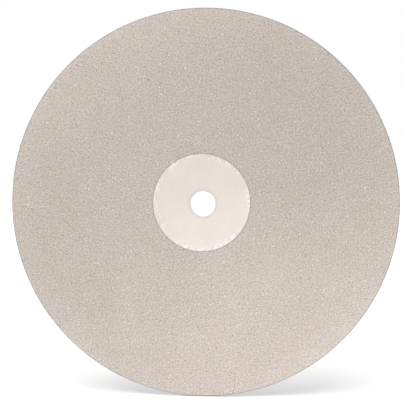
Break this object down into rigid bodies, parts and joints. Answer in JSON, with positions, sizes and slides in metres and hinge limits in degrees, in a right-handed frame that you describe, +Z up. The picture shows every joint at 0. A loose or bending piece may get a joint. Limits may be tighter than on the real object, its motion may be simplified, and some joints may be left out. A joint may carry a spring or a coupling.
{
  "type": "diamond flat lap wheel",
  "caption": "Thin round steel grinding wheel with a nickel-bonded diamond coat on one face, a bare round clamping zone in the middle and a plain arbor bore.",
  "frame": {"origin": "centre of the arbor bore, half-way through the steel blank", "axes": "+Y along the bore, out of the back face, so the wheel turns about Y and its diamond face looks along -Y; +Z up; the wheel stands upright"},
  "size_m": [0.2, 0.0012, 0.2],
  "materials": {
    "nickelled_steel": "ground steel under a thin satin nickel flash",
    "nickel_plate": "matt electroplated nickel",
    "diamond": "coarse exposed diamond grit"
  },
  "bodies": {
    "root": {"steel_core": "nickelled_steel", "nickel_bond": "nickel_plate", "diamond_grit": "diamond"}
  },
  "joints": []
}
